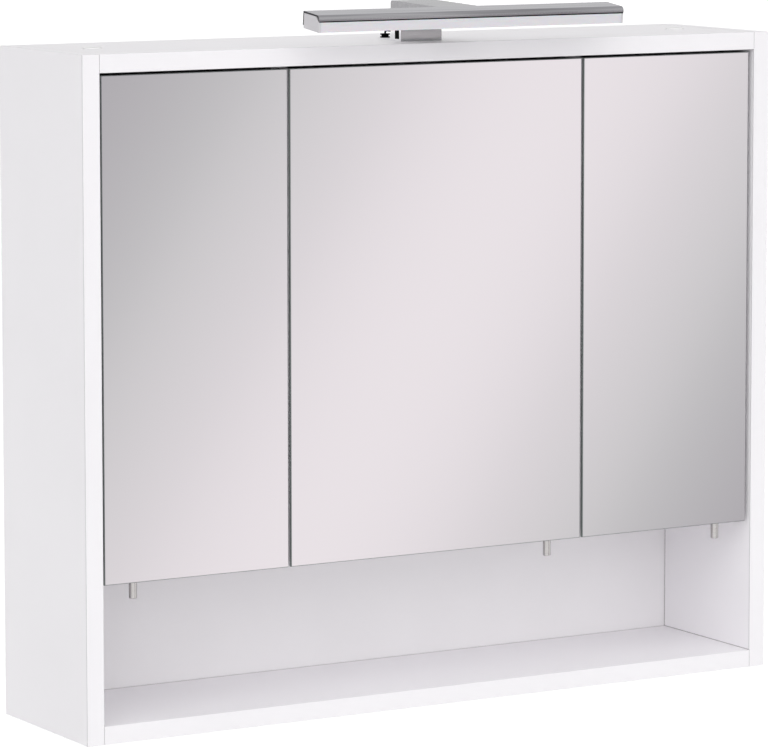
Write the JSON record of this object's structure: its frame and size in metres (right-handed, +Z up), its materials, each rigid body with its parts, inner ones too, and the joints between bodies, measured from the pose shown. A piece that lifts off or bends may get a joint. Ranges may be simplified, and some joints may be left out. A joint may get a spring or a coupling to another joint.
{
  "type": "lighted mirror cabinet",
  "caption": "Wall-hung white cabinet with mirror doors on concealed hinges, an open niche below them and a chrome LED lamp on an arm over the top.",
  "frame": {"origin": "midway between the two hanger keyholes, in the wall plane", "axes": "+X to the right along the cabinet's width, +Y from the front to the wall, +Z up"},
  "size_m": [0.71, 0.2199, 0.6341],
  "materials": {
    "white_melamine": "white melamine-faced chipboard",
    "white_hardboard": "white-lacquered hardboard",
    "mirror_glass": "silvered float glass with ground arris",
    "clear_glass": "clear tempered glass",
    "satin_steel": "satin stainless steel",
    "nickel_steel": "nickel-plated pressed steel",
    "zinc_steel": "zinc-plated steel",
    "zinc_casting": "die-cast zinc",
    "beech": "fluted beech",
    "chrome": "polished chrome plating",
    "frosted_acrylic": "opal extruded acrylic",
    "grey_plastic": "light grey moulded ABS",
    "white_plastic": "white moulded plastic",
    "black_plastic": "black moulded plastic",
    "black_rubber": "black PVC and rubber",
    "clear_rubber": "clear polyurethane",
    "circuit_board": "white-coated circuit board with LEDs"
  },
  "bodies": {
    "carcass": {"back_panel": "white_hardboard", "bottom_panel": "white_melamine", "cam_bolts": "zinc_steel", "cam_cover_caps": "white_plastic", "cam_discs": "zinc_casting", "door_bumpers": "clear_rubber", "hanger_screws": "zinc_steel", "hinge_arm_screws": "zinc_steel", "hinge_mounting_plates": "nickel_steel", "hinge_plate_screws": "zinc_steel", "lamp_arm": "chrome", "lamp_base": "chrome", "lamp_base_insert": "black_plastic", "lamp_base_screws": "zinc_steel", "lamp_cover": "chrome", "lamp_diffuser": "frosted_acrylic", "lamp_end_caps": "grey_plastic", "lamp_lead": "black_rubber", "lead_grommet": "black_rubber", "led_strip": "circuit_board", "left_divider": "white_melamine", "left_glass_shelves": "clear_glass", "left_hanger_bracket": "zinc_steel", "left_hinge_arms": "nickel_steel", "left_side_panel": "white_melamine", "mains_gland": "black_plastic", "middle_glass_shelves": "clear_glass", "middle_hinge_arms": "nickel_steel", "niche_shelf": "white_melamine", "power_box_housing": "white_plastic", "power_box_lid": "white_plastic", "power_box_screws": "zinc_steel", "right_divider": "white_melamine", "right_glass_shelves": "clear_glass", "right_hanger_bracket": "zinc_steel", "right_hinge_arms": "nickel_steel", "right_side_panel": "white_melamine", "shelf_pegs": "nickel_steel", "switch_frame": "black_plastic", "top_panel": "white_melamine", "wood_dowels": "beech"},
    "left_door": {"left_door_board": "white_melamine", "left_mirror": "mirror_glass", "left_door_pull": "satin_steel", "left_hinge_cups": "nickel_steel"},
    "left_outer_links": {"left_outer_hinge_links": "nickel_steel"},
    "left_inner_links": {"left_inner_hinge_links": "nickel_steel"},
    "middle_door": {"middle_door_board": "white_melamine", "middle_mirror": "mirror_glass", "middle_door_pull": "satin_steel", "middle_hinge_cups": "nickel_steel"},
    "middle_outer_links": {"middle_outer_hinge_links": "nickel_steel"},
    "middle_inner_links": {"middle_inner_hinge_links": "nickel_steel"},
    "right_door": {"right_door_board": "white_melamine", "right_mirror": "mirror_glass", "right_door_pull": "satin_steel", "right_hinge_cups": "nickel_steel"},
    "right_outer_links": {"right_outer_hinge_links": "nickel_steel"},
    "right_inner_links": {"right_inner_hinge_links": "nickel_steel"},
    "rocker": {"switch_rocker": "black_plastic"}
  },
  "joints": [
    {"name": "left_door_swing", "type": "hinge", "parent": "left_outer_links", "child": "left_door", "pos_m": [-0.1618, -0.1468, 0], "axis": [0, 0, 1], "range_deg": [0, 119.7]},
    {"name": "left_outer_link_pivot", "type": "hinge", "parent": "carcass", "child": "left_outer_links", "pos_m": [-0.1823, -0.127, 0], "axis": [0, 0, 1], "range_deg": [-29.8, 0]},
    {"name": "left_inner_link_pivot", "type": "hinge", "parent": "carcass", "child": "left_inner_links", "pos_m": [-0.1867, -0.1499, 0], "axis": [0, 0, 1], "range_deg": [-46, 0]},
    {"name": "middle_door_swing", "type": "hinge", "parent": "middle_outer_links", "child": "middle_door", "pos_m": [-0.1437, -0.1468, 0], "axis": [0, 0, -1], "range_deg": [0, 119.7]},
    {"name": "middle_outer_link_pivot", "type": "hinge", "parent": "carcass", "child": "middle_outer_links", "pos_m": [-0.1232, -0.127, 0], "axis": [0, 0, -1], "range_deg": [-29.8, 0]},
    {"name": "middle_inner_link_pivot", "type": "hinge", "parent": "carcass", "child": "middle_inner_links", "pos_m": [-0.1188, -0.1499, 0], "axis": [0, 0, -1], "range_deg": [-46, 0]},
    {"name": "right_door_swing", "type": "hinge", "parent": "right_outer_links", "child": "right_door", "pos_m": [0.1618, -0.1468, 0], "axis": [0, 0, -1], "range_deg": [0, 119.7]},
    {"name": "right_outer_link_pivot", "type": "hinge", "parent": "carcass", "child": "right_outer_links", "pos_m": [0.1823, -0.127, 0], "axis": [0, 0, -1], "range_deg": [-29.8, 0]},
    {"name": "right_inner_link_pivot", "type": "hinge", "parent": "carcass", "child": "right_inner_links", "pos_m": [0.1867, -0.1499, 0], "axis": [0, 0, -1], "range_deg": [-46, 0]},
    {"name": "rocker_tilt", "type": "hinge", "parent": "carcass", "child": "rocker", "pos_m": [0.036, -0.09785, 0.023], "axis": [1, 0, 0], "range_deg": [-12, 0]}
  ],
  "couplings": [
    {"joint": "left_outer_link_pivot", "follows": "left_door_swing", "ratio": -0.24812},
    {"joint": "left_inner_link_pivot", "follows": "left_door_swing", "ratio": -0.38346},
    {"joint": "middle_outer_link_pivot", "follows": "middle_door_swing", "ratio": -0.24812},
    {"joint": "middle_inner_link_pivot", "follows": "middle_door_swing", "ratio": -0.38346},
    {"joint": "right_outer_link_pivot", "follows": "right_door_swing", "ratio": -0.24812},
    {"joint": "right_inner_link_pivot", "follows": "right_door_swing", "ratio": -0.38346}
  ]
}
